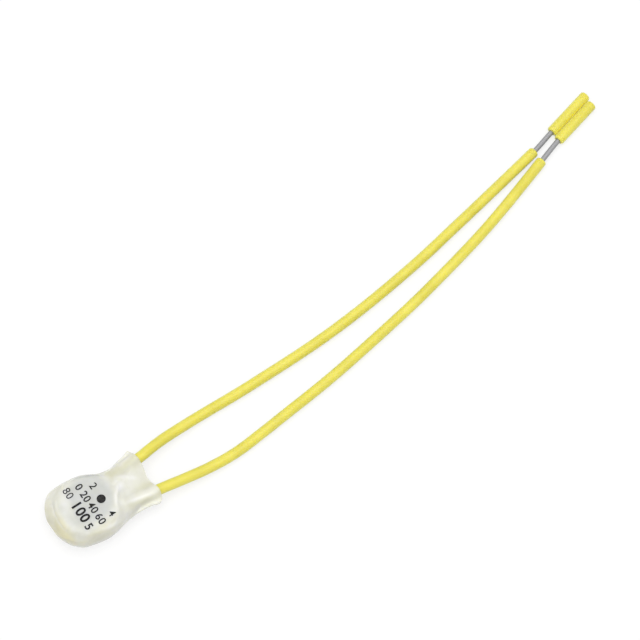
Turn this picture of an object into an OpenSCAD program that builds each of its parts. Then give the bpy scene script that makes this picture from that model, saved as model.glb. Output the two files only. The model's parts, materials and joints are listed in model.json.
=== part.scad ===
// Small round bimetal disc thermostat with a shrunk film sleeve and two leads.
// The disc's axis is Z, the underside of the sleeve lies on z = 0, and the leads run along +X.

/* [Switch housing] */
// Outer diameter of the drawn steel cup
cup_d = 8.4; // [7.6:0.1:10]
// Thickness of the flat base that senses the heat
cup_base = 0.5; // [0.3:0.05:0.8]
// Wall of the cup beside the cover
cup_wall = 0.45; // [0.35:0.05:0.6]
// Rounding between the base and the wall
cup_edge = 0.5; // [0.3:0.05:0.6]
// Width of the inner step that carries the cover
shoulder_w = 0.5; // [0.35:0.05:0.7]
// Height of the inner step that carries the spring disc
ledge_h = 0.35; // [0.25:0.05:0.6]
// Width of the inner step that carries the spring disc
ledge_w = 0.5; // [0.3:0.05:0.8]
// Height of the room between the ledge and the cover
room_h = 1.15; // [1.1:0.05:1.6]
// Thickness of the rim that is turned in over the cover
rim_t = 0.4; // [0.3:0.05:0.6]
// How far the rim is turned in
rim_reach = 0.8; // [0.6:0.05:1]
// Rounding of the rim's outer edge
rim_round = 0.3; // [0.2:0.05:0.4]

/* [Cover and foil] */
// Thickness of the cover plate
cover_t = 0.82; // [0.7:0.02:1.4]
// Thickness of the insulating foil
foil_t = 0.13; // [0.08:0.01:0.2]
// Radius of the window in the foil
foil_window_r = 1.25; // [1.15:0.05:1.5]

/* [Contacts] */
// Radius of the fixed contact's head
fixed_head_r = 1; // [0.8:0.05:1.1]
// Thickness of the fixed contact's head
fixed_head_t = 0.35; // [0.3:0.01:0.4]
// Radius of the shank through the cover
shank_r = 0.5; // [0.35:0.05:0.6]
// Radius of the riveted outer end
rivet_r = 0.8; // [0.7:0.05:1]
// Thickness of the riveted outer end
rivet_t = 0.2; // [0.1:0.05:0.25]
// Radius of the moving contact's button
button_r = 0.95; // [0.8:0.05:1.05]
// Thickness of the moving contact's button
button_t = 0.25; // [0.2:0.01:0.3]
// Radius of the moving contact's stem
stem_r = 0.42; // [0.3:0.02:0.5]
// Radius of the ring that is pressed on the stem
ring_r = 0.85; // [0.7:0.05:1]
// Thickness of that ring
ring_t = 0.2; // [0.15:0.01:0.25]
// How far the stem stands out of the ring
stem_proud = 0.04; // [0:0.01:0.08]
// Chamfer on the contacts' heads
contact_edge = 0.08; // [0.04:0.01:0.12]

/* [Snap discs] */
// Diameter of the bimetal disc
bimetal_d = 5.5; // [4.8:0.1:5.8]
// Thickness of the bimetal disc
bimetal_t = 0.13; // [0.1:0.01:0.15]
// Radius of the hole in the bimetal disc
bimetal_hole_r = 0.6; // [0.55:0.05:0.7]
// Thickness of the spring disc
spring_t = 0.12; // [0.1:0.01:0.15]
// Play between the spring disc and the housing's wall
spring_play = 0.1; // [0.05:0.05:0.2]

/* [Leads] */
// Outer diameter of the lead's insulation
lead_d = 1.55; // [1.2:0.05:1.6]
// Diameter of the stranded conductor
conductor_d = 0.74; // [0.5:0.02:0.8]
// Radius of the solder joint on the cup's wall
wall_joint_r = 0.68; // [0.55:0.01:0.7]
// Radius of the solder joint on the cover
cover_joint_r = 0.78; // [0.65:0.01:0.8]

/* [Sleeve] */
// Wall of the shrunk film
film_t = 0.3; // [0.2:0.02:0.4]
// Room between the film and what it wraps
film_gap = 0.04; // [0.03:0.01:0.08]
// Length of the flattened neck beyond the disc
neck_len = 5.06; // [4.6:0.1:6]
// How far the sealed end stands out beyond the disc
tail_len = 0.96; // [0.6:0.05:1.4]

/* [Fits] */
// Clearance of a piece in its seat
seat_gap = 0.02; // [0.01:0.01:0.04]
// Clearance between pieces that slide or bend
run_gap = 0.02; // [0.01:0.01:0.03]
// Difference between the insulation's bore and the strands in it
strand_play = 0.1; // [0.06:0.01:0.14]

/* [Hidden] */
$fn = 72;

// Heights in the switch's own frame, from the outer face of its base
cup_r = cup_d / 2;
ledge_z = cup_base + ledge_h;
shoulder_z = ledge_z + room_h;
cover_z = shoulder_z + foil_t;
cover_top_z = cover_z + cover_t;
rim_z = cover_top_z + foil_t;
cup_h = rim_z + rim_t;

// Radii in the switch
pocket_r = cup_r - cup_wall;
room_r = pocket_r - shoulder_w;
well_r = room_r - ledge_w;
mouth_r = pocket_r - rim_reach;
foil_r = pocket_r - seat_gap;
cover_r = foil_r - foil_t - seat_gap;
spring_r = room_r - spring_play;

// Heights of the contacts, from the same base
button_z = cover_z - fixed_head_t - run_gap / 2 - button_t;
bimetal_z = button_z - run_gap - bimetal_t;
spring_top_z = bimetal_z - 1.5 * run_gap;
spring_z = spring_top_z - spring_t;
spring_dish = spring_z - ledge_z - run_gap / 2;
bimetal_dish = spring_dish * pow(bimetal_d / 2 / spring_r, 2);
ring_z = spring_z - spring_dish * pow(ring_r / spring_r, 2) - run_gap / 2 - ring_t;
stem_z = ring_z - stem_proud;

// Heights in the sleeve: the switch lies base up, with a conductor passing under its rim
floor_z = film_t + seat_gap;
under_rim_z = floor_z + conductor_d / 2;
cup_z = floor_z + conductor_d + seat_gap;
base_z = cup_z + cup_h;
top_z = base_z + film_gap + film_t;

// Points where the two conductors are soldered
wall_joint_turn = 15;
wall_joint_reach = cup_r + conductor_d / 2 + film_gap + seat_gap;
wall_joint_z = 2.3;
wall_joint = [
    wall_joint_reach * cos(wall_joint_turn), wall_joint_reach * sin(wall_joint_turn), wall_joint_z
];
joint_shift = 0.12;
cover_joint = [1.9, -0.6, under_rim_z];

// Routes of the leads: solder joint, insulated stretch, bare window and tip
head_a = [wall_joint, [5, 1.8, 2.3], [5.3, 2.06, 2.31]];
run_a = [
    [5.6, 2.1, 2.3], [7.5, 2.35, 2.2], [9.6, 2.6, 2.1], [13.4, 3.2, 1.6], [17.4, 3.45, 1.1],
    [21.6, 3.5, 0.78], [26.2, 3.38, 0.78], [31, 3.38, 0.78], [35.8, 3.43, 0.78],
    [40.6, 3.6, 0.78], [45.4, 3.96, 0.78], [50.2, 4.5, 0.78], [55, 5.18, 0.78],
    [59.8, 5.97, 0.78], [64.6, 6.94, 0.78], [69.4, 7.9, 0.78], [73.8, 8.81, 0.78],
    [78, 9.69, 0.78], [81.85, 10.5, 0.78]
];
tail_a = [[85.6, 11.58, 0.78], [93.1, 13.57, 0.78]];
head_b = [
    cover_joint, [3.4, -1, under_rim_z], [4.5, -1.4, 0.78], [4.95, -1.9, 1.6], [5.3, -2.26, 2.25]
];
run_b = [
    [5.6, -2.3, 2.3], [7.5, -2.5, 2.2], [9.55, -2.73, 2.1], [13.4, -3.25, 1.65], [17.4, -3.65, 1.1],
    [21.4, -3.74, 0.78], [25.8, -3.38, 0.78], [30.4, -2.86, 0.78], [35.2, -2.34, 0.78],
    [40, -1.69, 0.78], [44.8, -0.89, 0.78], [49.6, -0.04, 0.78], [54.4, 0.87, 0.78],
    [59.2, 1.95, 0.78], [64, 3.11, 0.78], [68.6, 4.33, 0.78], [73, 5.68, 0.78],
    [77.4, 7.15, 0.78], [81.9, 8.7, 0.78]
];
tail_b = [[85.65, 9.97, 0.78], [93, 11.93, 0.78]];

// The strands end as far inside an end piece as that piece was pulled along the lead
function strands_end(run, tail) =
    let(pulled = norm(tail[0] - run[len(run) - 1]))
    [tail[0], tail[1] - pulled * unit(tail[1] - tail[0])];
lead_sides = 8;
bore_d = conductor_d + strand_play;

// Outline of the sleeve seen from above: the disc it wraps, the sealed end and the neck
wrap_r = cup_r + film_gap + film_t;
end_x = -wrap_r - tail_len;
mouth_x = wrap_r + neck_len;
exit_a = run_a[2][1];
exit_b = -run_b[2][1];
end_a = 0.42 * wrap_r;
end_b = 0.05 * wrap_r;
edge_a = [
    [-0.7 * wrap_r, wrap_r + 0.58], [-0.32 * wrap_r, wrap_r + 0.5], [-0.1 * wrap_r, wrap_r + 0.3],
    [0.13 * wrap_r, wrap_r + 0.02], [0.32 * wrap_r, wrap_r - 0.15], [0.67 * wrap_r, 0.78 * wrap_r],
    [0.89 * wrap_r, 0.72 * wrap_r], [wrap_r + 0.5, exit_a + 0.55], [wrap_r + 2, exit_a + 1.1],
    [wrap_r + 3.6, exit_a + 1.45], [mouth_x, exit_a + 1.82]
];
edge_b = [
    [-0.64 * wrap_r, wrap_r - 0.44], [-0.34 * wrap_r, wrap_r - 0.2], [-0.1 * wrap_r, wrap_r + 0.05],
    [0.14 * wrap_r, wrap_r + 0.16], [0.39 * wrap_r, wrap_r + 0.1], [0.7 * wrap_r, wrap_r - 0.22],
    [wrap_r, exit_b + 1.38], [wrap_r + 1.5, exit_b + 1.36], [wrap_r + 2.9, exit_b + 1.46],
    [wrap_r + 3.8, exit_b + 1.7], [mouth_x, exit_b + 1.8]
];

// Height of the seam, where the film's upper and lower halves meet
seam = [
    [end_x, 0.45 * top_z], [-0.6 * wrap_r, 0.47 * top_z], [wrap_r, 0.48 * top_z], [mouth_x, run_a[2][2]]
];

// The neck, from 0 at the disc to 1 at the mouth: its heights between the leads, above and
// below the seam, the room that the film leaves round a lead, and how far it bridges past them
neck_top = [
    [-0.5, 0.3], [-0.3, 1.4], [-0.13, 2.15], [-0.05, 2.24], [0.03, 2.08], [0.15, 1.8],
    [0.29, 1.56], [0.42, 1.38], [0.58, 1.12], [0.77, 0.8], [1, 0.42]
];
neck_bottom = [
    [-0.5, 1], [-0.19, 2.4], [0, 2.35], [0.09, 2.05], [0.21, 1.72], [0.37, 1.45],
    [0.68, 1.1], [1, 0.42]
];
lobe_room = [[0.09, 0.2], [0.39, 0.16], [1, 0.05]];
pillow_room = [[0, 1.8], [0.2, 1.5], [0.45, 0.9]];

// The film over the disc: where it leaves the flat faces, and the reach and drop of its corners
top_flat_r = cup_r - cup_edge + 0.25;
top_corner = [0.85, 1.2];
bottom_flat_r = cup_r - 0.9;
bottom_corner = [1.25, 1.2];
film_edge = film_t + 0.04;
blend = 0.3;
ring_points = 52;

// How full the film's side is above and below the seam, where 0 would be square
side_powers = [0.09, 0.16];

// How steeply the film runs down beyond the corner, on the neck's side and on the end's
top_slopes = [1.8, 1];
bottom_slopes = [1.5, 0.8];

// How far the cut of the mouth is drawn back at its two corners and between the leads
mouth_back_a = 0.62;
mouth_back_b = 0.82;
mouth_dip = 0.45;
dip_y = -0.75;
dip_half = 2.4;

function smooth(u) = let(c = max(0, min(1, u))) c * c * (3 - 2 * c);
function soft_max(a, b, k) = let(h = max(k - abs(a - b), 0) / k) max(a, b) + h * h * k / 4;

// Value at x on a smooth curve through the points of a list
function through(x, list, i = 0) =
    x <= list[0][0] ? list[0][1]
    : i >= len(list) - 1 ? list[len(list) - 1][1]
    : x > list[i + 1][0] ? through(x, list, i + 1)
    : let(
        a = list[max(i - 1, 0)], b = list[i], c = list[i + 1], d = list[min(i + 2, len(list) - 1)],
        w = c[0] - b[0], u = (x - b[0]) / w,
        mb = (c[1] - a[1]) / (c[0] - a[0]) * w, mc = (d[1] - b[1]) / (d[0] - b[0]) * w
    )
    b[1] * (1 + 2 * u) * (1 - u) * (1 - u) + mb * u * (1 - u) * (1 - u)
    + c[1] * u * u * (3 - 2 * u) + mc * u * u * (u - 1);

// Half-widths of the outline on the two sides
function end_fall(u) = pow(1 - pow(max(0, min(1, u)), 1.5), 0.667);
function side_width(x, edge, end_w) =
    let(ear = edge[0])
    x < ear[0] ? end_w + (ear[1] - end_w) * end_fall((ear[0] - x) / (ear[0] - end_x))
    : through(x, edge);

// Height of the film over the disc and of its slopes beyond the disc
function corner_fall(u) = 1 - sqrt(1 - pow(min(max(u, 0), 0.9), 2));
function cap_fall(r, flat, corner, inset, slope) =
    let(reach = corner[0] - inset, drop = corner[1] - inset)
    drop * corner_fall((r - flat) / reach) + slope * max(0, r - flat - 0.9 * reach);
function lead_y(x, run) = lookup(x, [for (p = run) [p[0], p[1]]]);
function along_neck(x) = (x - wrap_r) / neck_len;
function lobe(x, y, run, inset) =
    let(
        r = lead_d / 2 + film_gap + film_t + lookup(along_neck(x), lobe_room) - inset,
        d = y - lead_y(x, run)
    )
    smooth(x - wrap_r + 0.14) * sqrt(max(0, r * r - d * d));
function pillow(x, y) =
    let(
        a = lead_y(x, run_a), b = lead_y(x, run_b),
        half = (a - b) / 2 + lookup(along_neck(x), pillow_room),
        u = (y - (a + b) / 2) / half
    )
    sqrt(max(0, 1 - u * u * u * u));
function neck_height(x, y, heights, inset) =
    let(middle = (through(along_neck(x), heights) - inset) * pillow(x, y))
    soft_max(middle, max(lobe(x, y, run_a, inset), lobe(x, y, run_b, inset)), blend);
function side_round(v, power) = pow(1 - pow(max(0, 4 * abs(v) - 3), 4), power);
function end_round(x) = pow(max(0, 1 - pow(max(0, -x - wrap_r) / tail_len, 2.2)), 0.6);
function film_slope(x, slopes) = slopes[1] + (slopes[0] - slopes[1]) * smooth((x + 1) / 3);

function film_top(x, y, v, inset) =
    let(
        c = through(x, seam),
        fall = cap_fall(norm([x, y]), top_flat_r, top_corner, inset, film_slope(x, top_slopes)),
        cap = top_z - inset - c - fall,
        neck = neck_height(x, y, neck_top, inset)
    )
    c + side_round(v, side_powers[0]) * max(film_edge - inset, end_round(x) * soft_max(cap, neck, blend));
function film_bottom(x, y, v, inset) =
    let(
        c = through(x, seam),
        fall = cap_fall(norm([x, y]), bottom_flat_r, bottom_corner, inset, film_slope(x, bottom_slopes)),
        cap = c - inset - fall,
        neck = min(neck_height(x, y, neck_bottom, inset), c - inset)
    )
    c - side_round(v, side_powers[1])
        * max(film_edge - inset, end_round(x) * min(soft_max(cap, neck, blend), c - inset));

// One closed section of the film; inset 0 is its outside and film_t its inside
function film_ring(x, inset) = [
    for (i = [0 : ring_points - 1])
        let(
            turn = 360 * i / ring_points,
            v = cos(turn),
            w = v >= 0 ? side_width(x, edge_a, end_a) : side_width(x, edge_b, end_b),
            y = v * (w - inset),
            at_corner = v >= 0 ? mouth_back_a * pow(v, 5) : mouth_back_b * pow(-v, 9),
            dip = mouth_dip * smooth(1 - abs(y - dip_y) / dip_half),
            back = (at_corner + dip) * smooth((x - mouth_x + 2) / 2)
        )
        [x - back, y, i <= ring_points / 2 ? film_top(x, y, v, inset) : film_bottom(x, y, v, inset)]
];
function film_stations(inset) = concat(
    [for (u = [0, 0.05, 0.16, 0.32, 0.5, 0.68, 0.85]) end_x + inset + u * (tail_len - inset)],
    [for (turn = [0 : 10 : 180]) -wrap_r * cos(turn)],
    [for (u = [1 : 14]) wrap_r + neck_len * u / 14]
);

// Triangles between two rings that follow each other in a list of points
function band(first, second, count, flip = false) = [
    for (i = [0 : count - 1], part = [0, 1])
        let(
            a = first + i, b = first + (i + 1) % count, c = second + i, d = second + (i + 1) % count,
            face = part == 0 ? [a, c, b] : [b, c, d]
        )
        flip ? [face[0], face[2], face[1]] : face
];
function fan(centre, first, count, flip = false) = [
    for (i = [0 : count - 1])
        let(a = first + i, b = first + (i + 1) % count)
        flip ? [centre, b, a] : [centre, a, b]
];
function middle(points) = [for (k = [0 : 2]) sum(points, k) / len(points)];
function sum(points, k, i = 0) = i < len(points) ? points[i][k] + sum(points, k, i + 1) : 0;

// Rings along a route, square to it, with the same sides facing up all the way
function unit(v) = v / norm(v);
function heading(route, i) =
    i == 0 ? unit(route[1] - route[0])
    : i == len(route) - 1 ? unit(route[i] - route[i - 1])
    : unit(unit(route[i + 1] - route[i]) + unit(route[i] - route[i - 1]));
function route_rings(route, r) = [
    for (i = [0 : len(route) - 1])
        let(
            ahead = heading(route, i), side = unit(cross([0, 0, 1], ahead)), up = cross(ahead, side)
        )
        for (k = [0 : lead_sides - 1])
            let(turn = 360 * (k + 0.5) / lead_sides)
            route[i] + r * (cos(turn) * side + sin(turn) * up)
];

// Solid rod and hollow tube along a route
module rod(route, d) {
    count = len(route);
    points = concat(route_rings(route, d / 2), [route[0], route[count - 1]]);
    faces = concat(
        [for (i = [0 : count - 2]) each band(i * lead_sides, (i + 1) * lead_sides, lead_sides)],
        fan(count * lead_sides, 0, lead_sides),
        fan(count * lead_sides + 1, (count - 1) * lead_sides, lead_sides, true)
    );
    polyhedron(points, faces, convexity = 6);
}

module tube(route, d, bore) {
    count = len(route);
    last = (count - 1) * lead_sides;
    inside = count * lead_sides;
    points = concat(route_rings(route, d / 2), route_rings(route, bore / 2));
    faces = concat(
        [for (i = [0 : count - 2]) each band(i * lead_sides, (i + 1) * lead_sides, lead_sides)],
        [for (i = [0 : count - 2])
            each band(inside + i * lead_sides, inside + (i + 1) * lead_sides, lead_sides, true)],
        band(0, inside, lead_sides, true),
        band(last, inside + last, lead_sides)
    );
    polyhedron(points, faces, convexity = 6);
}

// Round bore for a conductor along a straight stretch, from just behind its end
module conductor_bore(from, to) {
    along = to - from;
    flat = norm([along[0], along[1]]);
    translate(from - 0.02 * unit(along))
        rotate([0, atan2(flat, along[2]), atan2(along[1], along[0])])
            cylinder(h = norm(along) + 1, d = conductor_d + 2 * seat_gap, $fn = 32);
}

// The switch is drawn base down and turned over into its place in the sleeve
module in_sleeve() {
    translate([0, 0, base_z]) rotate([180, 0, 0]) children();
}

// Points on a quarter of a circle
function corner(centre, r, from, to, steps = 6) = [
    for (i = [0 : steps]) let(a = from + (to - from) * i / steps) centre + r * [cos(a), sin(a)]
];

// Dished disc: its middle stands above its edge by the height of the dish
module dished_disc(r, hole_r, z, t, dish) {
    steps = 8;
    under = [
        for (i = [0 : steps]) let(x = hole_r + (r - hole_r) * i / steps) [x, z - dish * pow(x / r, 2)]
    ];
    over = [for (i = [steps : -1 : 0]) under[i] + [0, t]];
    rotate_extrude() polygon(concat(under, over));
}

module shrink_sleeve() {
    outside = film_stations(0);
    inside = film_stations(film_t);
    outer_count = len(outside);
    inner_count = len(inside);
    outer_rings = [for (x = outside) film_ring(x, 0)];
    inner_rings = [for (x = inside) film_ring(x, film_t)];
    start = outer_count * ring_points;
    points = concat(
        [for (ring = outer_rings) each ring],
        [for (ring = inner_rings) each ring],
        [middle(outer_rings[0]), middle(inner_rings[0])]
    );
    outer_end = (outer_count - 1) * ring_points;
    inner_end = start + (inner_count - 1) * ring_points;
    faces = concat(
        [for (i = [0 : outer_count - 2]) each band(i * ring_points, (i + 1) * ring_points, ring_points)],
        [for (i = [0 : inner_count - 2])
            each band(start + i * ring_points, start + (i + 1) * ring_points, ring_points, true)],
        fan(start + inner_count * ring_points, 0, ring_points),
        fan(start + inner_count * ring_points + 1, start, ring_points, true),
        band(outer_end, inner_end, ring_points)
    );
    color([0.93, 0.93, 0.86, 0.6]) polyhedron(points, faces, convexity = 8);
}

module housing_cup() {
    color([0.72, 0.72, 0.7]) in_sleeve() rotate_extrude()
        polygon(concat(
            [[0, 0]],
            corner([cup_r - cup_edge, cup_edge], cup_edge, -90, 0),
            corner([cup_r - rim_round, cup_h - rim_round], rim_round, 0, 90),
            [
                [mouth_r, cup_h], [mouth_r, rim_z], [pocket_r, rim_z], [pocket_r, shoulder_z],
                [room_r, shoulder_z], [room_r, ledge_z], [well_r, ledge_z], [well_r, cup_base],
                [0, cup_base]
            ]
        ));
}

module cover_plate() {
    color([0.8, 0.78, 0.72]) in_sleeve() difference() {
        translate([0, 0, cover_z]) cylinder(h = cover_t, r = cover_r);
        translate([0, 0, cover_z - 1]) cylinder(h = cover_t + 2, r = shank_r + seat_gap);
    }
}

module insulating_foil() {
    color([0.85, 0.62, 0.2]) in_sleeve() rotate_extrude()
        polygon([
            [foil_window_r, shoulder_z], [foil_r, shoulder_z], [foil_r, rim_z],
            [mouth_r + seat_gap, rim_z], [mouth_r + seat_gap, cover_top_z],
            [cover_r + seat_gap, cover_top_z], [cover_r + seat_gap, cover_z],
            [foil_window_r, cover_z]
        ]);
}

module fixed_contact() {
    color([0.86, 0.86, 0.84]) in_sleeve() rotate_extrude()
        polygon([
            [0, cover_z - fixed_head_t], [fixed_head_r - contact_edge, cover_z - fixed_head_t],
            [fixed_head_r, cover_z - fixed_head_t + contact_edge], [fixed_head_r, cover_z],
            [shank_r, cover_z], [shank_r, cover_top_z],
            [rivet_r, cover_top_z], [rivet_r - contact_edge, cover_top_z + rivet_t],
            [0, cover_top_z + rivet_t]
        ]);
}

module moving_contact() {
    color([0.88, 0.87, 0.82]) in_sleeve() rotate_extrude()
        polygon([
            [0, stem_z], [stem_r, stem_z], [stem_r, button_z], [button_r, button_z],
            [button_r, button_z + button_t - contact_edge],
            [button_r - contact_edge, button_z + button_t],
            [0, button_z + button_t]
        ]);
}

module retaining_ring() {
    color([0.66, 0.66, 0.62]) in_sleeve() difference() {
        translate([0, 0, ring_z]) cylinder(h = ring_t, r = ring_r);
        translate([0, 0, ring_z - 1]) cylinder(h = ring_t + 2, r = stem_r + seat_gap / 2);
    }
}

module spring_disc() {
    color([0.6, 0.6, 0.62]) in_sleeve()
        dished_disc(spring_r, stem_r + 1.5 * run_gap, spring_z, spring_t, spring_dish);
}

module bimetal_disc() {
    color([0.7, 0.55, 0.4]) in_sleeve()
        dished_disc(bimetal_d / 2, bimetal_hole_r, bimetal_z, bimetal_t, bimetal_dish);
}

module solder_joint_wall() {
    toward = unit(head_a[1] - head_a[0]);
    color([0.75, 0.75, 0.76]) difference() {
        translate(head_a[0] + joint_shift * toward) sphere(r = wall_joint_r, $fn = 40);
        cylinder(h = 3 * top_z, r = cup_r + seat_gap / 2, center = true);
        conductor_bore(head_a[0], head_a[1]);
    }
}

module solder_joint_cover() {
    ceiling_z = base_z - cover_top_z;
    color([0.75, 0.75, 0.76]) difference() {
        intersection() {
            translate([cover_joint[0], cover_joint[1], (floor_z + ceiling_z) / 2])
                sphere(r = cover_joint_r, $fn = 40);
            translate([0, 0, floor_z]) cylinder(h = ceiling_z - floor_z, r = mouth_r - seat_gap);
        }
        conductor_bore(head_b[0], head_b[1]);
    }
}

module lead_conductor(head, run, tail) {
    color([0.72, 0.73, 0.75]) rod(concat(head, run, strands_end(run, tail)), conductor_d);
}

module lead_insulation(run) {
    color([0.97, 0.88, 0.2]) tube(run, lead_d, bore_d);
}

shrink_sleeve();
housing_cup();
cover_plate();
insulating_foil();
fixed_contact();
moving_contact();
retaining_ring();
spring_disc();
bimetal_disc();
solder_joint_wall();
solder_joint_cover();
lead_conductor(head_a, run_a, tail_a);  // lead_a_conductor
lead_conductor(head_b, run_b, tail_b);  // lead_b_conductor
lead_insulation(run_a);  // lead_a_insulation
lead_insulation(run_b);  // lead_b_insulation
lead_insulation(tail_a);  // lead_a_end_sleeve
lead_insulation(tail_b);  // lead_b_end_sleeve
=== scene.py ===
import json
import math

import bmesh
import bpy
import numpy as np
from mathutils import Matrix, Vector, noise

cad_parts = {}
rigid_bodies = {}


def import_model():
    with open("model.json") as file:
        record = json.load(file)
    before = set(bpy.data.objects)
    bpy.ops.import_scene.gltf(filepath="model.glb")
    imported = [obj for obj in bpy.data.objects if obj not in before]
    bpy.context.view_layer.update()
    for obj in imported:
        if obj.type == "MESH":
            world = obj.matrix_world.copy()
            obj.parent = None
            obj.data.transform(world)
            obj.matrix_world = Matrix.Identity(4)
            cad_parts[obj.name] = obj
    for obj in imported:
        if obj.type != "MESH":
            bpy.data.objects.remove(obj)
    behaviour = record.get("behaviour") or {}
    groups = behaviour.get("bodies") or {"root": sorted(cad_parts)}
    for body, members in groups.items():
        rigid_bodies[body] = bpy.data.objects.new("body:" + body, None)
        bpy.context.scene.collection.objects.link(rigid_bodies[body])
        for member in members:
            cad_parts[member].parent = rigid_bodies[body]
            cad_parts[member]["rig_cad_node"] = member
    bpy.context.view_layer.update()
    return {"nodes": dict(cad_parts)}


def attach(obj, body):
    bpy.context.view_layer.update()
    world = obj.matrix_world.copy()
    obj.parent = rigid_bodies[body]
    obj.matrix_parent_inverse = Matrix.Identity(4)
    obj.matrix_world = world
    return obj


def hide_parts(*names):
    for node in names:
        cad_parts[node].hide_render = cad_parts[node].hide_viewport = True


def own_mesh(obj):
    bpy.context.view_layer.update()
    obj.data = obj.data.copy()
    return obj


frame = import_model()
bpy.ops.object.select_all(action="DESELECT")


# Camera
# The photograph looks steeply down on the part through a long lens: the disc lies at the lower
# left of the picture and the lead ends at its upper right. The lens is given in its usual unit.
mm = 0.001
view_turn = math.radians(-34)
view_rise = math.radians(68)
view_distance = 450 * mm
view_centre = Vector((42.164, 6.349, 0)) * mm
lens_width = 36
lens_length = 180.92

towards_camera = Vector((
    math.sin(view_turn) * math.cos(view_rise),
    -math.cos(view_turn) * math.cos(view_rise),
    math.sin(view_rise),
))
bpy.ops.object.camera_add(
    location=view_centre + towards_camera * view_distance,
    rotation=(-towards_camera).to_track_quat("-Z", "Y").to_euler(),
)
camera = bpy.context.object
camera.data.sensor_width = lens_width
camera.data.lens = lens_length
camera.data.clip_start = 10 * mm
camera.data.clip_end = 10
bpy.context.scene.camera = camera


# Lead insulation
# Each lead is a small stranded wire in an extruded yellow jacket. The jacket is cut square near
# the end of the lead, and the knife leaves its edge a little rolled.
lead_diameter = 1.55 * mm
bore_diameter = 0.84 * mm
bore_depth = 0.9 * mm
cut_round = 0.24 * mm
on_the_cut = 0.1 * mm
round_the_rim = 0.95 * lead_diameter / 2

# Each route runs from inside the sleeve, out of its mouth at the third point and down to the
# table, where the lead's middle is half its diameter up
route_a = [
    (5.6, 2.1, 2.3), (7.5, 2.35, 2.2), (9.6, 2.6, 2.1), (13.4, 3.2, 1.6), (17.4, 3.45, 1.1),
    (21.6, 3.5, 0.78), (26.2, 3.38, 0.78), (31, 3.38, 0.78), (35.8, 3.43, 0.78),
    (40.6, 3.6, 0.78), (45.4, 3.96, 0.78), (50.2, 4.5, 0.78), (55, 5.18, 0.78),
    (59.8, 5.97, 0.78), (64.6, 6.94, 0.78), (69.4, 7.9, 0.78), (73.8, 8.81, 0.78),
    (78, 9.69, 0.78), (81.85, 10.5, 0.78),
]
route_b = [
    (5.6, -2.3, 2.3), (7.5, -2.5, 2.2), (9.55, -2.73, 2.1), (13.4, -3.25, 1.65),
    (17.4, -3.65, 1.1), (21.4, -3.74, 0.78), (25.8, -3.38, 0.78), (30.4, -2.86, 0.78),
    (35.2, -2.34, 0.78), (40, -1.69, 0.78), (44.8, -0.89, 0.78), (49.6, -0.04, 0.78),
    (54.4, 0.87, 0.78), (59.2, 1.95, 0.78), (64, 3.11, 0.78), (68.6, 4.33, 0.78),
    (73, 5.68, 0.78), (77.4, 7.15, 0.78), (81.9, 8.7, 0.78),
]


def in_metres(points):
    return [Vector(point) * mm for point in points]


def bend(name, points, twist=0.0):
    """A smooth curve through the points; twist is its turn in radians for each metre."""
    shape = bpy.data.curves.new(name, "CURVE")
    shape.dimensions = "3D"
    shape.resolution_u = 6
    spline = shape.splines.new("BEZIER")
    spline.bezier_points.add(len(points) - 1)
    along = 0.0
    for place, knot, before in zip(points, spline.bezier_points, [points[0]] + points):
        along += (place - before).length
        knot.co = place
        knot.handle_left_type = knot.handle_right_type = "AUTO"
        knot.tilt = twist * along
    wire = bpy.data.objects.new(name, shape)
    bpy.context.scene.collection.objects.link(wire)
    return wire


def to_mesh(piece):
    bpy.ops.object.select_all(action="DESELECT")
    piece.select_set(True)
    bpy.context.view_layer.objects.active = piece
    bpy.ops.object.convert(target="MESH")
    return bpy.context.object


def jacket(name, points):
    """A hollow jacket with rolled cut ends along the points."""
    wire = bend(name, points)
    wire.data.bevel_depth = lead_diameter / 2
    wire.data.bevel_resolution = 10
    tube = to_mesh(wire)
    bpy.ops.object.mode_set(mode="EDIT")
    for end, beside in ((points[0], points[1]), (points[-1], points[-2])):
        inward = (beside - end).normalized()
        bpy.ops.mesh.select_all(action="DESELECT")
        work = bmesh.from_edit_mesh(tube.data)
        for edge in work.edges:
            if edge.is_boundary and (edge.verts[0].co - end).length < lead_diameter:
                edge.select = True
        bmesh.update_edit_mesh(tube.data)
        bpy.ops.mesh.extrude_edges_move()
        bpy.ops.transform.resize(value=[bore_diameter / lead_diameter] * 3, center_override=end)
        bpy.ops.mesh.extrude_edges_move(TRANSFORM_OT_translate={"value": inward * bore_depth})
        bpy.ops.mesh.edge_face_add()
        bpy.ops.mesh.select_all(action="DESELECT")
        work = bmesh.from_edit_mesh(tube.data)
        for edge in work.edges:
            corners = [corner.co - end for corner in edge.verts]
            if all(
                abs(corner.dot(inward)) < on_the_cut and corner.length > round_the_rim
                for corner in corners
            ):
                edge.select = True
        bmesh.update_edit_mesh(tube.data)
        bpy.ops.mesh.bevel(offset=cut_round, segments=4, affect="EDGES")
    bpy.ops.mesh.select_all(action="SELECT")
    bpy.ops.mesh.normals_make_consistent(inside=False)
    bpy.ops.object.mode_set(mode="OBJECT")
    bpy.ops.object.shade_smooth_by_angle(angle=math.radians(50))
    return tube


def linear(code):
    """A colour written as six hex digits, as the shader takes it."""
    parts = [int(code[i:i + 2], 16) / 255 for i in (1, 3, 5)]
    return [c / 12.92 if c <= 0.04045 else ((c + 0.055) / 1.055) ** 2.4 for c in parts] + [1]


def new_material(name):
    made = bpy.data.materials.new(name)
    made.use_nodes = True
    return made, made.node_tree.nodes["Principled BSDF"]


def add(material, kind, sockets=(), **settings):
    """Adds a node; sockets gives values, or the output of another node, by input name."""
    tree = material.node_tree
    node = tree.nodes.new("ShaderNode" + kind)
    for key, value in settings.items():
        setattr(node, key, value)
    for key, value in dict(sockets).items():
        if isinstance(value, bpy.types.NodeSocket):
            tree.links.new(value, node.inputs[key])
        else:
            node.inputs[key].default_value = value
    return node


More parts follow.
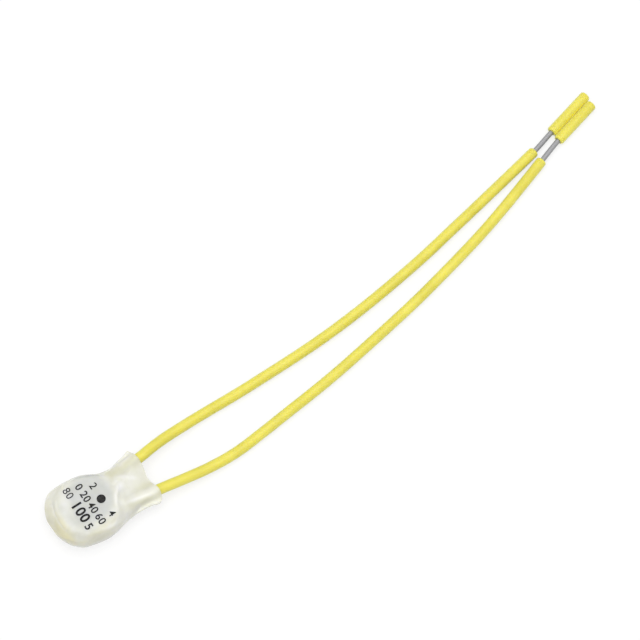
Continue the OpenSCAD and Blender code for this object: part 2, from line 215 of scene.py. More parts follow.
def feed(material, source, socket):
    material.node_tree.links.new(source, socket)


# The photograph can't show which plastic or metal a piece is made of. Here and below, each is
# taken as a kind that is usual in such switches.

# Extruded polyolefin: an even strong yellow with a soft skin gloss and a pale bloom towards its
# edges, a little light passing into it, and the faint clouding and orange peel of an extrusion.
# The real peel is finer and is drawn coarse enough to show. Where two pieces touch, their flanks
# are painted a brighter yellow: painted light for what passes from one to the other, so the
# crevice between them stays yellow.
cloud_width = 2.86 * mm
peel_width = 0.4 * mm
peel_depth = 0.02 * mm
polyolefin, skin = new_material("extruded_yellow_polyolefin")
skin.inputs["Roughness"].default_value = 0.42
skin.inputs["IOR"].default_value = 1.45
skin.inputs["Subsurface Weight"].default_value = 0.8
skin.inputs["Subsurface Radius"].default_value = (1.0, 0.9, 0.3)
skin.inputs["Subsurface Scale"].default_value = 0.6 * mm
skin.inputs["Sheen Weight"].default_value = 0.45
skin.inputs["Sheen Tint"].default_value = linear("#C4F0FF")
skin.inputs["Sheen Roughness"].default_value = 0.4
place = add(polyolefin, "TexCoord")
clouds = add(polyolefin, "TexNoise", {
    "Vector": place.outputs["Object"], "Scale": 1 / cloud_width, "Detail": 3,
})
tint = add(polyolefin, "ValToRGB", {"Fac": clouds.outputs["Fac"]})
tint.color_ramp.elements[0].position = 0.3
tint.color_ramp.elements[0].color = linear("#D1C84D")
tint.color_ramp.elements[1].position = 0.7
tint.color_ramp.elements[1].color = linear("#DBD257")
# Painted light: the brighter yellow where the two end pieces touch
crevice_light_mask = add(polyolefin, "Attribute", attribute_name="crevice_light")
lit = add(polyolefin, "MixRGB", {
    "Fac": crevice_light_mask.outputs["Fac"], "Color1": tint.outputs["Color"], "Color2": linear("#F2E24A"),
})
feed(polyolefin, lit.outputs["Color"], skin.inputs["Base Color"])
peel = add(polyolefin, "TexNoise", {
    "Vector": place.outputs["Object"], "Scale": 1 / peel_width, "Detail": 2,
})
dimple = add(polyolefin, "Bump", {
    "Height": peel.outputs["Fac"], "Strength": 0.07, "Distance": peel_depth,
})
feed(polyolefin, dimple.outputs["Normal"], skin.inputs["Normal"])


def stand_for(node, piece, material):
    """The piece takes the CAD node's place on the switch, with its own finish."""
    piece.data.materials.append(material)
    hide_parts(node)
    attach(piece, "switch")


jacket_a = jacket("lead_a_jacket", in_metres(route_a))
jacket_b = jacket("lead_b_jacket", in_metres(route_b))
stand_for("lead_a_insulation", jacket_a, polyolefin)
stand_for("lead_b_insulation", jacket_b, polyolefin)


# End pieces
# The last stretch of each jacket was cut off and pulled towards the tip, and it stays on the
# strands until the lead is fitted. Its ends are cut and rolled as the jacket's are, and the two
# pieces lie against each other.
end_a = [(85.6, 11.58, 0.78), (93.1, 13.57, 0.78)]
end_b = [(85.65, 9.97, 0.78), (93, 11.93, 0.78)]
crevice_light_width = 0.22 * mm
piece_a = jacket("lead_a_end_piece", in_metres(end_a))
piece_b = jacket("lead_b_end_piece", in_metres(end_b))
# Each end piece is painted a brighter yellow where it lies close to the other: painted light in
# the crevice between them
for tube, other in ((piece_a, end_b), (piece_b, end_a)):
    start, tip = in_metres(other)
    axis = (tip - start).normalized()
    gaps = [
        (corner.co - start).cross(axis).length - lead_diameter / 2 for corner in tube.data.vertices
    ]
    shares = [math.exp(-((gap / crevice_light_width) ** 2)) for gap in gaps]
    tube.data.attributes.new("crevice_light", "FLOAT", "POINT").data.foreach_set("value", shares)
stand_for("lead_a_end_sleeve", piece_a, polyolefin)
stand_for("lead_b_end_sleeve", piece_b, polyolefin)


# Strands
# The conductor is a bunch of tinned copper strands, laid in a long twist. It shows in the gap
# between the jacket and the end piece, and it ends inside the end piece.
strand_count = 12
strand_lay = 9 * mm
conductor_radius = 0.37 * mm
groove_depth = 0.035 * mm
merge_gap = 0.001 * mm

# From the solder joints to the jackets, and how far the end pieces were pulled along the strands
head_a = [(4.472, 1.198, 2.3), (5, 1.8, 2.3), (5.3, 2.06, 2.31)]
head_b = [
    (1.9, -0.6, 0.69), (3.4, -1, 0.69), (4.5, -1.4, 0.78), (4.95, -1.9, 1.6), (5.3, -2.26, 2.25),
]
pulled = 3.9 * mm


def bunch(name, points):
    """Twisted strands along the points, as one bar with a groove between each two."""
    wire = bend(name, points, 2 * math.pi / strand_lay)
    wire.data.resolution_u = 16
    outline = bpy.data.curves.new(name + "_outline", "CURVE")
    outline.dimensions = "2D"
    spline = outline.splines.new("POLY")
    steps = 4 * strand_count
    spline.points.add(steps - 1)
    for i, corner in enumerate(spline.points):
        turn = 2 * math.pi * i / steps
        groove = groove_depth * (1 - abs(math.sin(turn * strand_count / 2)))
        reach = conductor_radius - groove
        corner.co = (reach * math.cos(turn), reach * math.sin(turn), 0, 1)
    spline.use_cyclic_u = True
    section = bpy.data.objects.new(name + "_outline", outline)
    bpy.context.scene.collection.objects.link(section)
    wire.data.bevel_mode = "OBJECT"
    wire.data.bevel_object = section
    wire.data.use_fill_caps = True
    bar = to_mesh(wire)
    bpy.ops.object.mode_set(mode="EDIT")
    bpy.ops.mesh.select_all(action="SELECT")
    bpy.ops.mesh.remove_doubles(threshold=merge_gap)
    bpy.ops.mesh.normals_make_consistent(inside=False)
    bpy.ops.object.mode_set(mode="OBJECT")
    bpy.ops.object.shade_smooth_by_angle(angle=math.radians(60))
    bpy.data.objects.remove(section)
    return bar


def conductor_route(head, run, end):
    """From the solder joint to the strands' end inside the end piece."""
    first, last = in_metres(end)
    tip = last + (first - last).normalized() * pulled
    return in_metres(head) + in_metres(run) + [first, tip]


# Tinned copper: a grey metal, duller than steel, with soft reflections. The tin froze in a fine
# grain, which is drawn coarse enough to show.
grain_width = 0.333 * mm
grain_depth = 0.01 * mm
tinned, tin = new_material("tinned_copper_strands")
tin.inputs["Base Color"].default_value = linear("#939395")
tin.inputs["Metallic"].default_value = 0.6
tin.inputs["Roughness"].default_value = 0.55
place = add(tinned, "TexCoord")
grain = add(tinned, "TexNoise", {
    "Vector": place.outputs["Object"], "Scale": 1 / grain_width, "Detail": 3,
})
dimple = add(tinned, "Bump", {
    "Height": grain.outputs["Fac"], "Strength": 0.2, "Distance": grain_depth,
})
feed(tinned, dimple.outputs["Normal"], tin.inputs["Normal"])

strands_a = bunch("lead_a_strands", conductor_route(head_a, route_a, end_a))
strands_b = bunch("lead_b_strands", conductor_route(head_b, route_b, end_b))
stand_for("lead_a_conductor", strands_a, tinned)
stand_for("lead_b_conductor", strands_b, tinned)


# Each lead's route is turned into metres, and the lead leaves the sleeve's mouth at the third
# point of its route
for tube, route, pieces in (
    (jacket_a, route_a, [strands_a, piece_a]),
    (jacket_b, route_b, [strands_b, piece_b]),
):
    line = in_metres(route)


# Housing cup
# The housing is a deep-drawn steel cup that lies base up. Its base senses the heat, and its rim
# is turned in over the cover. The ring that is pressed on the contact's stem is the same steel.
def dress(material, *names):
    """Gives CAD nodes that keep their shape their own finish."""
    for name in names:
        finishes = frame["nodes"][name].data.materials
        finishes.clear()
        finishes.append(material)


# Drawn steel: a grey metal with smeared patches and the fine ring marks of the die, which run
# about the cup's axis. At scale 1 Blender's rings are a tenth of pi apart.
ring_spacing = 0.262 * mm
ring_depth = 0.01 * mm
smear_width = 1.11 * mm
drawn_steel, drawn = new_material("drawn_steel")
drawn.inputs["Metallic"].default_value = 1
place = add(drawn_steel, "TexCoord")
rings = add(drawn_steel, "TexWave", {
    "Vector": place.outputs["Object"], "Scale": math.pi / 10 / ring_spacing,
    "Distortion": 1.5, "Detail": 2,
}, wave_type="RINGS", rings_direction="Z")
smear = add(drawn_steel, "TexNoise", {
    "Vector": place.outputs["Object"], "Scale": 1 / smear_width, "Detail": 4,
})
shade = add(drawn_steel, "ValToRGB", {"Fac": smear.outputs["Fac"]})
shade.color_ramp.elements[0].position = 0.35
shade.color_ramp.elements[0].color = linear("#A9A8A2")
shade.color_ramp.elements[1].position = 0.7
shade.color_ramp.elements[1].color = linear("#C3C3BF")
feed(drawn_steel, shade.outputs["Color"], drawn.inputs["Base Color"])
gloss = add(drawn_steel, "MapRange", {
    "Value": smear.outputs["Fac"], "To Min": 0.28, "To Max": 0.42,
})
feed(drawn_steel, gloss.outputs["Result"], drawn.inputs["Roughness"])
marks = add(drawn_steel, "Bump", {
    "Height": rings.outputs["Fac"], "Strength": 0.3, "Distance": ring_depth,
})
feed(drawn_steel, marks.outputs["Normal"], drawn.inputs["Normal"])
dress(drawn_steel, "housing_cup", "retaining_ring")


# Cover plate
# The cover is a thick disc blanked from cold-rolled steel strip. It lies on the cup's upper step
# and carries the fixed contact.
def rolling_lines(material, length, width, along="X"):
    """The lines that rolls leave along a strip, as long and as wide as given."""
    place = add(material, "TexCoord")
    sizes = [length if axis == along else width for axis in "XYZ"]
    strip = add(material, "Mapping", {
        "Vector": place.outputs["Object"], "Scale": [1 / size for size in sizes],
    })
    return add(material, "TexNoise", {"Vector": strip.outputs["Vector"], "Scale": 1, "Detail": 3})


# Cold-rolled steel: a warm grey metal, half dull, with the rolls' lines along it
line_depth = 0.006 * mm
stamped_steel, stamped = new_material("cold_rolled_steel")
stamped.inputs["Metallic"].default_value = 1
stamped.inputs["Roughness"].default_value = 0.38
lines = rolling_lines(stamped_steel, 5 * mm, 0.167 * mm)
shade = add(stamped_steel, "ValToRGB", {"Fac": lines.outputs["Fac"]})
shade.color_ramp.elements[0].color = linear("#B3ADA0")
shade.color_ramp.elements[1].color = linear("#CFCABE")
feed(stamped_steel, shade.outputs["Color"], stamped.inputs["Base Color"])
marks = add(stamped_steel, "Bump", {
    "Height": lines.outputs["Fac"], "Strength": 0.4, "Distance": line_depth,
})
feed(stamped_steel, marks.outputs["Normal"], stamped.inputs["Normal"])
dress(stamped_steel, "cover_plate")


# Insulating foil
# A disc of polyimide foil lies between the cover and the cup, and it was folded up round the
# cover's edge when the two were pressed together.
fold_width = 0.667 * mm
fold_depth = 0.02 * mm

# Polyimide foil: a glossy deep amber, paler where the pressing puckered it
foil_amber, foil = new_material("polyimide_foil")
foil.inputs["Roughness"].default_value = 0.25
foil.inputs["IOR"].default_value = 1.7
place = add(foil_amber, "TexCoord")
folds = add(foil_amber, "TexNoise", {
    "Vector": place.outputs["Object"], "Scale": 1 / fold_width, "Detail": 3,
})
shade = add(foil_amber, "ValToRGB", {"Fac": folds.outputs["Fac"]})
shade.color_ramp.elements[0].position = 0.3
shade.color_ramp.elements[0].color = linear("#B8761A")
shade.color_ramp.elements[1].position = 0.75
shade.color_ramp.elements[1].color = linear("#D99A34")
feed(foil_amber, shade.outputs["Color"], foil.inputs["Base Color"])
marks = add(foil_amber, "Bump", {
    "Height": folds.outputs["Fac"], "Strength": 0.4, "Distance": fold_depth,
})
feed(foil_amber, marks.outputs["Normal"], foil.inputs["Normal"])
dress(foil_amber, "insulating_foil")


# Contacts
# The fixed contact is riveted through the cover, and the moving one sits on a stem in the middle
# of the spring disc. Both are turned from a silver alloy.
tarnish_width = 0.556 * mm

# Silver alloy: a bright white metal that tarnishes in warm, duller patches
contact_silver, silver = new_material("silver_contact_alloy")
silver.inputs["Metallic"].default_value = 1
place = add(contact_silver, "TexCoord")
tarnish = add(contact_silver, "TexNoise", {
    "Vector": place.outputs["Object"], "Scale": 1 / tarnish_width, "Detail": 5,
})
shade = add(contact_silver, "ValToRGB", {"Fac": tarnish.outputs["Fac"]})
shade.color_ramp.elements[0].position = 0.32
shade.color_ramp.elements[0].color = linear("#B5AA96")
shade.color_ramp.elements[1].position = 0.55
shade.color_ramp.elements[1].color = linear("#E2E1DC")
feed(contact_silver, shade.outputs["Color"], silver.inputs["Base Color"])
gloss = add(contact_silver, "MapRange", {
    "Value": tarnish.outputs["Fac"], "To Min": 0.45, "To Max": 0.22,
})
feed(contact_silver, gloss.outputs["Result"], silver.inputs["Roughness"])
dress(contact_silver, "fixed_contact", "moving_contact")


# Spring disc
# The spring disc carries the current from the moving contact to the cup. It is blanked from
# hard-rolled strip and pressed to a shallow dish, which flattens as the contact lifts.
loose_gap = 0.0005 * mm


def free_copy(name, node):
    """A copy of a CAD node without its finish, left in edit mode with its triangles merged."""
    bpy.ops.object.select_all(action="DESELECT")
    made = frame["nodes"][node].copy()
    made.data = made.data.copy()
    made.data.materials.clear()
    made.name = name
    made.parent = None
    bpy.context.scene.collection.objects.link(made)
    del made["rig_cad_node"]
    made.select_set(True)
    bpy.context.view_layer.objects.active = made
    bpy.ops.object.mode_set(mode="EDIT")
    bpy.ops.mesh.select_all(action="SELECT")
    bpy.ops.mesh.remove_doubles(threshold=loose_gap)
    return made


def snap_disc(name, node, material):
    """A smooth-shaded copy of a disc's CAD node, which takes the node's place with its own finish.
    """
    disc = free_copy(name, node)
    bpy.ops.object.mode_set(mode="OBJECT")
    bpy.ops.mesh.customdata_custom_splitnormals_clear()
    bpy.ops.object.shade_smooth_by_angle(angle=math.radians(30))
    stand_for(node, disc, material)
    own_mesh(disc)


# Hard-rolled spring steel: a cool grey metal, fairly bright, with fine rolling lines
line_depth = 0.005 * mm
spring_strip, spring = new_material("rolled_spring_steel")
spring.inputs["Metallic"].default_value = 1
spring.inputs["Roughness"].default_value = 0.3
lines = rolling_lines(spring_strip, 4 * mm, 0.143 * mm, along="Y")
shade = add(spring_strip, "ValToRGB", {"Fac": lines.outputs["Fac"]})
shade.color_ramp.elements[0].color = linear("#8F9094")
shade.color_ramp.elements[1].color = linear("#B2B3B6")
feed(spring_strip, shade.outputs["Color"], spring.inputs["Base Color"])
marks = add(spring_strip, "Bump", {
    "Height": lines.outputs["Fac"], "Strength": 0.5, "Distance": line_depth,
})
feed(spring_strip, marks.outputs["Normal"], spring.inputs["Normal"])
snap_disc("spring_snap_disc", "spring_disc", spring_strip)


# Bimetal disc
# The bimetal disc lies loose round the stem and snaps over at its temperature. It was blanked
# from a strip of two alloys that were rolled together, and pressed to a dish.
line_depth = 0.005 * mm

# Bimetal: the upper alloy is yellowish and swells more, the lower one is grey, and both show the
# rolling lines
bimetal_strip, bimetal = new_material("rolled_bimetal")
bimetal.inputs["Metallic"].default_value = 1
bimetal.inputs["Roughness"].default_value = 0.34
place = add(bimetal_strip, "TexCoord")
facing = add(bimetal_strip, "SeparateXYZ", {"Vector": place.outputs["Normal"]})
side = add(bimetal_strip, "Math", {0: facing.outputs["Z"], 1: 0.0}, operation="GREATER_THAN")
lines = rolling_lines(bimetal_strip, 3.33 * mm, 0.167 * mm)
alloys = add(bimetal_strip, "MixRGB", {
    "Fac": side.outputs[0], "Color1": linear("#9D9B97"), "Color2": linear("#B89C6E"),
})
worn = add(bimetal_strip, "MixRGB", {
    "Fac": 0.25, "Color1": alloys.outputs["Color"], "Color2": lines.outputs["Color"],
}, blend_type="SOFT_LIGHT")
feed(bimetal_strip, worn.outputs["Color"], bimetal.inputs["Base Color"])
marks = add(bimetal_strip, "Bump", {
    "Height": lines.outputs["Fac"], "Strength": 0.4, "Distance": line_depth,
})
feed(bimetal_strip, marks.outputs["Normal"], bimetal.inputs["Normal"])
snap_disc(
    "bimetal_snap_disc", "bimetal_disc", bimetal_strip,
)


# Solder joints
# Two beads of soft solder join the leads' strands to the cup's wall and to the cover. Each was
# melted round the strands' end and froze where it lies.
frost_width = 0.2 * mm
frost_depth = 0.012 * mm

# Soft solder: a bright white metal that froze quickly, with a faint frosting
soft_solder, bead = new_material("soft_solder")
bead.inputs["Base Color"].default_value = linear("#C6C6C4")
bead.inputs["Metallic"].default_value = 1
place = add(soft_solder, "TexCoord")
frost = add(soft_solder, "TexNoise", {
    "Vector": place.outputs["Object"], "Scale": 1 / frost_width, "Detail": 4,
})
gloss = add(soft_solder, "MapRange", {
    "Value": frost.outputs["Fac"], "To Min": 0.25, "To Max": 0.5,
})
feed(soft_solder, gloss.outputs["Result"], bead.inputs["Roughness"])
marks = add(soft_solder, "Bump", {
    "Height": frost.outputs["Fac"], "Strength": 0.4, "Distance": frost_depth,
})
feed(soft_solder, marks.outputs["Normal"], bead.inputs["Normal"])
dress(soft_solder, "solder_joint_wall", "solder_joint_cover")


# Film sleeve
# A milky polyester tube was slipped over the switch, welded shut at its far end and shrunk with
# hot air. It lies tight on the disc, bridges the two leads and is creased where it shrank most.
# The film's lengths are in millimetres up to where its mesh is written back.
seam_height = 2.3
mouth_at = 9.6
weld_at = -5.5
wave_length = 1.6
wave_depth = 0.035
wave_start = 7
face_drop = 0.015
deepest_crease = 0.14
deeper_between_leads = 0.1
highest_ridge = 0.08
core_from, core_to, core_share = -3, 9, 0.55

# Each crease, and each band that is only painted, as seen from above: its line, its half-width,
# its depth (a ridge where it is negative), how white the film is painted there, partly for strain
# whitening and partly as a painted highlight, and how much painted shade it has
creases = [
    (
        [(2.9, -3.0), (3.3, -2.0), (3.85, -1.05), (4.6, -0.2), (5.25, 0.5), (6.0, 1.0)],
        0.22, -0.07, 0.7, 0,
    ),
    ([(3.5, -2.9), (3.75, -2.0), (4.2, -1.3), (4.9, -0.7), (5.8, -0.35)], 0.26, 0.09, 0, 0.15),
    ([(4.2, 0.4), (5.0, 0.8), (5.7, 0.9)], 0.3, -0.06, 0.6, 0),
    ([(4.9, 1.3), (6.0, 1.15), (7.2, 0.35), (8.2, -0.4)], 0.38, -0.03, 0.7, 0),
    ([(5.2, 0.1), (6.2, 0.6), (7.1, 1.0), (7.9, 1.5)], 0.2, -0.04, 0.4, 0),
    ([(5.2, 1.35), (6.3, 1.45), (7.6, 1.7), (8.8, 2.0)], 0.28, 0.08, 0.1, 0.1),
    ([(4.1, -2.6), (5.0, -2.55), (6.2, -2.65), (7.4, -2.85), (9.2, -3.2)], 0.26, -0.04, 0.85, 0),
    ([(4.6, -1.75), (6.0, -1.6), (7.5, -1.75), (8.9, -2.0)], 0.3, 0.08, 0, 0.15),
    ([(5.4, -3.4), (7.0, -3.5), (8.6, -3.75)], 0.18, 0.04, 0, 0.12),
    ([(5.0, 3.0), (6.4, 3.2), (8.0, 3.5), (9.2, 3.8)], 0.2, 0.025, 0.3, 0),
    ([(0.0, 4.2), (1.5, 3.9), (2.6, 3.35), (3.5, 2.9), (4.4, 2.6)], 0.2, 0.09, 0, 0.9),
    ([(-0.4, -4.1), (0.6, -4.3), (1.6, -4.25), (2.6, -3.9)], 0.22, -0.03, 0.7, 0),
    (
        [(-4.2, -2.0), (-4.55, -0.9), (-4.6, 0.3), (-4.4, 1.5), (-4.05, 2.6), (-3.6, 3.6)],
        0.13, 0.06, 0.5, 0,
    ),
    ([(-4.0, 0.2), (-3.95, 1.2), (-3.6, 2.3), (-3.15, 3.4)], 0.16, -0.04, 0.35, 0),
    ([(-3.6, -1.4), (-3.4, -0.2), (-3.1, 0.9), (-2.5, 2.4), (-1.6, 3.8)], 0.45, 0, 0.2, 0),
    (
        [(-4.3, -1.6), (-3.6, -2.6), (-2.8, -3.2), (-1.9, -3.6), (-0.8, -4.0), (0.6, -4.4)],
        0.6, 0, 0, 0.2,
    ),
    ([(-3.1, 2.4), (-3.2, 0.4), (-2.8, -1.2), (-1.8, -2.6), (-0.6, -3.3)], 0.6, 0, 0, 0.35),
    ([(4.2, -0.6), (5.0, 0.0), (5.8, 0.5)], 0.45, 0, 0.8, 0),
    ([(6.4, 2.8), (7.8, 3.2), (9.2, 3.6)], 0.5, 0, 0.6, 0),
    ([(-4.7, -1.7), (-4.2, -1.4), (-3.7, -1.3)], 0.14, 0.05, 0.2, 0.1),
    ([(-4.9, 1.1), (-4.4, 0.9), (-3.9, 0.85)], 0.12, 0.05, 0.2, 0.1),
    ([(-4.3, 3.3), (-3.9, 2.9), (-3.5, 2.7)], 0.14, 0.05, 0.2, 0.1),
    ([(-3.8, -3.2), (-3.4, -2.8), (-3.0, -2.6)], 0.16, 0.05, 0.1, 0.1),
]


def step(at, low, high):
    """0 below low, 1 above high, and smooth between them."""
    share = np.clip((at - low) / (high - low), 0, 1)
    return share * share * (3 - 2 * share)


def on_crease(x, y, line, half_width):
    """1 on the crease's line, fading out over its width and towards its two ends."""
    near, place, run = np.full(len(x), np.inf), np.zeros(len(x)), 0.0
    for (ax, ay), (bx, by) in zip(line, line[1:]):
        along = np.hypot(bx - ax, by - ay)
        share = np.clip(((x - ax) * (bx - ax) + (y - ay) * (by - ay)) / along**2, 0, 1)
        gap = np.hypot(x - ax - share * (bx - ax), y - ay - share * (by - ay))
        closer = gap < near
        near[closer] = gap[closer]
        place[closer] = run + share[closer] * along
        run += along
    taper = np.sin(np.pi * np.clip(place / run, 0.001, 0.999)) ** 0.6
    return np.exp(-((near / half_width) ** 2)) * taper


film = free_copy("film_sleeve", "shrink_sleeve")
bpy.ops.mesh.tris_convert_to_quads(
    face_threshold=math.radians(60), shape_threshold=math.radians(60),
)
bpy.ops.object.mode_set(mode="OBJECT")
smoothing = film.modifiers.new("smoothing", "SUBSURF")
smoothing.levels = smoothing.render_levels = 2
bpy.ops.object.modifier_apply(modifier="smoothing")
bpy.ops.object.shade_smooth()

count = len(film.data.vertices)
points, normals = np.empty(3 * count), np.empty(3 * count)
film.data.vertices.foreach_get("co", points)
film.data.vertices.foreach_get("normal", normals)
points, normals = points.reshape(-1, 3) / mm, normals.reshape(-1, 3)
x, y, z = points.T

# The film's outer skin looks away from a flat core in the middle of the sleeve, and the welded
# edge has no inner skin
core = np.stack(
    [np.clip(x, core_from, core_to), core_share * y, np.full(count, seam_height)], axis=1,
)
outer = (((points - core) * normals).sum(axis=1) > 0) | (x < weld_at + 0.2)
upper = z > seam_height
across = np.where(upper, y, -y)
depth, whitening_and_highlight, shaded = np.zeros(count), np.zeros(count), np.zeros(count)
# The white marks are partly strain whitening and partly painted highlight; the dark marks are
# painted shade
for line, half_width, deep, strain_and_highlight_share, dark in creases:
    here = on_crease(x, across, line, half_width)
    depth += deep * here
    whitening_and_highlight = np.maximum(whitening_and_highlight, strain_and_highlight_share * here)
    shaded = np.maximum(shaded, dark * here)

# The creases fade out at the seam. Over the cup and the leads only the outer skin is creased, and
# on the bridge between the leads the whole wall. Ridges stand proud only in the neck.
depth *= step(abs(z - seam_height), 0.05, 0.5)
bridge = step(x, 4.8, 5.6) * (1 - step(abs(y + 0.1), 0.9, 1.5))
reach = np.hypot(x, y)
neck = step(reach, 4.3, 5.2) * (1 - step(x, 8.6, 9.4))
ridge = np.where(upper, highest_ridge * neck, 0)
skin_depth = np.clip(depth, -ridge, deepest_crease + deeper_between_leads * bridge)

# The shrunk wall waves a little all over, the face over the cup's base is a little sunk, and all
# of this fades out at the weld and is weaker at the cut mouth
waves = np.array([
    noise.noise(Vector((px / wave_length, py / wave_length, pz + wave_start)))
    for px, py, pz in points
])
skin_depth += wave_depth * (1 + waves) * (1 + bridge) / 2
skin_depth += face_drop * step(z, 4.5, 4.85)
skin_depth *= step(x, weld_at + 0.1, weld_at + 0.4)
move = np.where(outer, skin_depth, np.clip(depth, 0, 1) * bridge)
move *= 1 - 0.7 * step(x, mouth_at - 0.8, mouth_at)
direction = np.where(outer[:, None], normals, -normals)
points -= move[:, None] * direction
film.data.vertices.foreach_set("co", (points * mm).ravel())


def band(at, middle, half_width):
    """1 along the middle of a band and fading out to its sides."""
    return np.exp(-(((at - middle) / half_width) ** 2))


# How much of each thing shows at each point of the film: the steel through its face, the yellow
# of the leads through its neck, the weld at the far end with a painted warm shade along the lower
# flank, the painted shade of the creases and bands, and their whitening, which is partly strain
# and partly painted highlight. Lead A's yellow shows over the lead, and lead B's at its two
# sides, because the film over its top is painted whitish, for its strain and as a painted
# highlight.
yellow_over_a = np.interp(x, [5.6, 7.5, 9.6], [2.2, 2.5, 2.8])
yellow_beside_b = np.interp(x, [5.6, 7.5, 9.55], [-3.1, -3.3, -3.5])
showing = {
    "steel_behind": np.maximum(
        (1 - step(np.hypot(x - 0.5, across - 0.5), 2.6, 4.3))
        * step(x - 0.35 * across, -3.3, -1.7),
        0.35 * (1 - step(reach, 3.6, 4.7)),
    ),
    "lead_behind": step(x, 3.7, 5.0) * (
        band(across, yellow_over_a, 1.0) + 0.7 * band(across, yellow_beside_b, 0.5)
        + 0.8 * band(across, -1.6, 0.5) * step(x, 5, 8.5)
    ),
    # The weld at the far end, and a painted warm shade along the lower flank
    "weld_and_flank_shade": np.maximum(
        step(-x, 3.4, 4.7) * (1 - 0.7 * step(across, -0.5, 2)),
        0.35 * step(-across, 3.0, 4.0) * (1 - step(x, 0, 3)),
    ),
    "shade": shaded,
    "strain_and_highlight": whitening_and_highlight,
}
for name, values in showing.items():
    film.data.attributes.new(name, "FLOAT", "POINT").data.foreach_set("value", values)

# Milky polyester: pale ivory with light passing into it. It looks greyer over the steel, yellower
# where its two halves are welded and over the leads, and whitish where it is strained. Its lower
# flank has a painted warm shade, its creases and bands a painted grey shade, and part of the
# white on its creases is a painted highlight. It is faintly clouded and puckered all over.
haze_width = 1.11 * mm
pucker_width = 0.588 * mm
pucker_depth = 0.02 * mm
film_milk, milk = new_material("shrunk_polyester_film")
milk.inputs["IOR"].default_value = 1.5
milk.inputs["Subsurface Weight"].default_value = 1
milk.inputs["Subsurface Radius"].default_value = (1.0, 1.0, 0.8)
milk.inputs["Subsurface Scale"].default_value = 0.25 * mm
milk.inputs["Alpha"].default_value = 0.68
place = add(film_milk, "TexCoord")
colour = linear("#EFEFE7")
for name, tint, most in (
    ("steel_behind", "#D3D5D3", 1.0), ("lead_behind", "#DFDEC6", 0.8), ("weld_and_flank_shade", "#EDE8C6", 0.9),
    ("shade", "#B4B9B8", 0.7), ("strain_and_highlight", "#FFFFFE", 1.0),
):
    mark = add(film_milk, "Attribute", attribute_name=name)
    share = add(film_milk, "Math", {0: mark.outputs["Fac"], 1: most}, operation="MULTIPLY")
    layer = add(film_milk, "MixRGB", {
        "Fac": share.outputs[0], "Color1": colour, "Color2": linear(tint),
    })
    colour = layer.outputs["Color"]
haze = add(film_milk, "TexNoise", {
    "Vector": place.outputs["Object"], "Scale": 1 / haze_width, "Detail": 4,
})
shade = add(film_milk, "ValToRGB", {"Fac": haze.outputs["Fac"]})
shade.color_ramp.elements[0].position = 0.2
shade.color_ramp.elements[0].color = linear("#F6F5F0")
shade.color_ramp.elements[1].position = 0.75
shade.color_ramp.elements[1].color = linear("#FFFFFF")
hazy = add(film_milk, "MixRGB", {
    "Fac": 1, "Color1": colour, "Color2": shade.outputs["Color"],
}, blend_type="MULTIPLY")
feed(film_milk, hazy.outputs["Color"], milk.inputs["Base Color"])
gloss = add(film_milk, "MapRange", {"Value": haze.outputs["Fac"], "To Min": 0.2, "To Max": 0.27})
feed(film_milk, gloss.outputs["Result"], milk.inputs["Roughness"])
pucker = add(film_milk, "TexNoise", {
    "Vector": place.outputs["Object"], "Scale": 1 / pucker_width, "Detail": 2,
})
marks = add(film_milk, "Bump", {
    "Height": pucker.outputs["Fac"], "Strength": 0.2, "Distance": pucker_depth,
})
feed(film_milk, marks.outputs["Normal"], milk.inputs["Normal"])
stand_for("shrink_sleeve", film, film_milk)


# Print
# The face over the cup's base carries plain numbers and a dot, stamped on the film in black ink.
# They read across the switch, with their tops towards the leads. They are drawn above the film
# and then laid down on it.
ink_lift = 0.01
ink_thickness = 0.008
drawn_at = 5.5
dot_radius = 0.62
dot_x, dot_y = 1.95, -0.35
digit_spacing = 1.08

# Each number's place, height and how much bolder than the plain letterform it is
stamps = [
    ("2", 2.0, 1.8, 1.5, 0.01), ("4", 2.0, -2.9, 1.5, 0.01),
    ("0", 0.3, 2.75, 1.5, 0.02), ("20", 0.3, 1.1, 1.5, 0.02), ("40", 0.3, -0.8, 1.5, 0.02),
    ("60", 0.3, -2.7, 1.5, 0.02), ("80", -1.4, 2.8, 1.55, 0), ("100", -1.4, -0.35, 2.0, 0.05),
    ("5", -1.6, -2.75, 1.6, 0.03),
]
bpy.ops.object.select_all(action="DESELECT")
bpy.ops.mesh.primitive_circle_add(
    vertices=40, radius=dot_radius * mm, fill_type="NGON",
    location=(dot_x * mm, dot_y * mm, drawn_at * mm),
)
dot = bpy.context.object
for number, at_x, at_y, height, weight in stamps:
    bpy.ops.object.text_add(
        location=(at_x * mm, at_y * mm, drawn_at * mm), rotation=(0, 0, math.radians(-90)),
    )
    digits = bpy.context.object
    digits.data.body = number
    digits.data.size = height * mm
    digits.data.offset = weight * mm
    digits.data.space_character = digit_spacing
    digits.data.align_x = digits.data.align_y = "CENTER"
    bpy.ops.object.convert(target="MESH")
    digits.select_set(True)
    dot.select_set(True)
    bpy.context.view_layer.objects.active = dot
    bpy.ops.object.join()
dot.name = "face_print"
bpy.ops.object.transform_apply(location=True, rotation=True, scale=True)
bpy.ops.object.mode_set(mode="EDIT")
bpy.ops.mesh.select_all(action="SELECT")
bpy.ops.mesh.quads_convert_to_tris()
bpy.ops.mesh.subdivide(number_cuts=3)
bpy.ops.object.mode_set(mode="OBJECT")
lay = dot.modifiers.new("lay", "SHRINKWRAP")
lay.target = film
lay.wrap_method = "PROJECT"
lay.use_project_z = True
lay.use_negative_direction = True
lay.use_positive_direction = False
lay.offset = ink_lift * mm
bpy.ops.object.modifier_apply(modifier="lay")
body = dot.modifiers.new("body", "SOLIDIFY")
body.thickness = ink_thickness * mm
body.offset = -1
bpy.ops.object.modifier_apply(modifier="body")

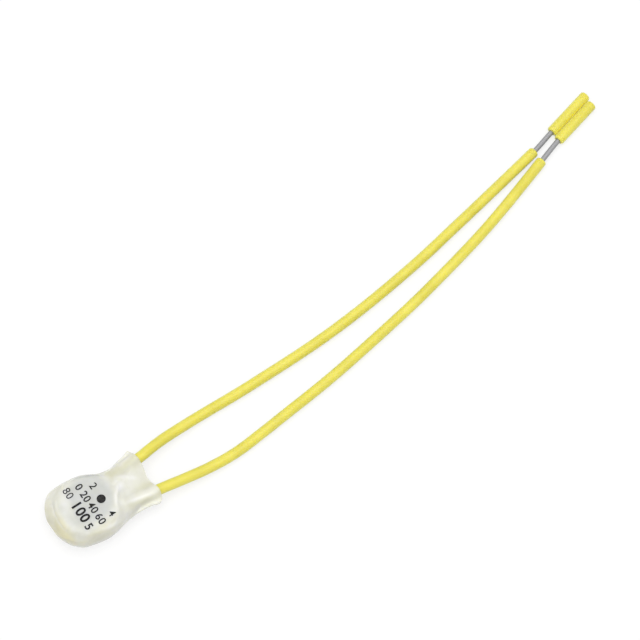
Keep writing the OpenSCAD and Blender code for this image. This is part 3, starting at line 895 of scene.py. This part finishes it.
# Stamping ink: near black, thinner and greyer in places where the film took less of it
patch_width = 0.4 * mm
ink, pigment = new_material("stamping_ink")
pigment.inputs["Roughness"].default_value = 0.7
pigment.inputs["Specular IOR Level"].default_value = 0.25
place = add(ink, "TexCoord")
patches = add(ink, "TexNoise", {
    "Vector": place.outputs["Object"], "Scale": 1 / patch_width, "Detail": 4,
})
tint = add(ink, "ValToRGB", {"Fac": patches.outputs["Fac"]})
tint.color_ramp.elements[0].position = 0.5
tint.color_ramp.elements[0].color = linear("#121212")
tint.color_ramp.elements[1].position = 0.75
tint.color_ramp.elements[1].color = linear("#353432")
feed(ink, tint.outputs["Color"], pigment.inputs["Base Color"])
dot.data.materials.clear()
dot.data.materials.append(ink)
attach(dot, "switch")


# Floor and light
# The part lies on a plain white table under soft light from a large panel above and the white
# room round it. The table is a hair lower than the part, because the leads' curves dip a little.
table_size = 6
table_drop = 0.03 * mm
panel_size = 0.7
panel_place = (0.02, -0.02, 0.6)
panel_power = 3.8
room_light = 0.56
table_glow = 0.7


def looking_rays(owner):
    """1 for rays that look at the surroundings, straight, by a gloss or through something."""
    ray = add(owner, "LightPath")
    seen = add(owner, "Math", {
        0: ray.outputs["Is Camera Ray"], 1: ray.outputs["Is Glossy Ray"],
    }, operation="MAXIMUM")
    seen = add(owner, "Math", {
        0: seen.outputs[0], 1: ray.outputs["Is Transmission Ray"],
    }, operation="MAXIMUM")
    return seen.outputs[0]


bpy.ops.object.select_all(action="DESELECT")
bpy.ops.mesh.primitive_plane_add(size=table_size, location=(0, 0, -table_drop))
floor = bpy.context.object
floor.name = "floor"

# Matt white board: it has no gloss. Where it is seen it is lifted most of the way to white, and
# the rest is its own shade, which keeps the part's shadow.
table, board = new_material("white_table")
board.inputs["Base Color"].default_value = linear("#EDEDED")
board.inputs["Roughness"].default_value = 0.9
board.inputs["Specular IOR Level"].default_value = 0
share = add(table, "Math", {0: looking_rays(table), 1: table_glow}, operation="MULTIPLY")
glow = add(table, "Emission", {"Color": linear("#FFFFFF"), "Strength": 1})
blend = add(table, "MixShader", {0: share.outputs[0], 1: board.outputs[0], 2: glow.outputs[0]})
feed(table, blend.outputs[0], table.node_tree.nodes["Material Output"].inputs["Surface"])
floor.data.materials.append(table)

# The room is white where it is seen and lights the part at a plain level
world = bpy.data.worlds.new("white_room")
world.use_nodes = True
walls = world.node_tree.nodes["Background"]
walls.inputs["Color"].default_value = linear("#FFFFFF")
level = add(world, "MapRange", {"Value": looking_rays(world), "To Min": room_light, "To Max": 1})
feed(world, level.outputs["Result"], walls.inputs["Strength"])
bpy.context.scene.world = world

bpy.ops.object.light_add(type="AREA", location=panel_place)
panel = bpy.context.object
panel.data.shape = "SQUARE"
panel.data.size = panel_size
panel.data.energy = panel_power
panel.rotation_euler = (view_centre - panel.location).to_track_quat("-Z", "Y").to_euler()

bpy.context.scene.view_settings.view_transform = "Standard"
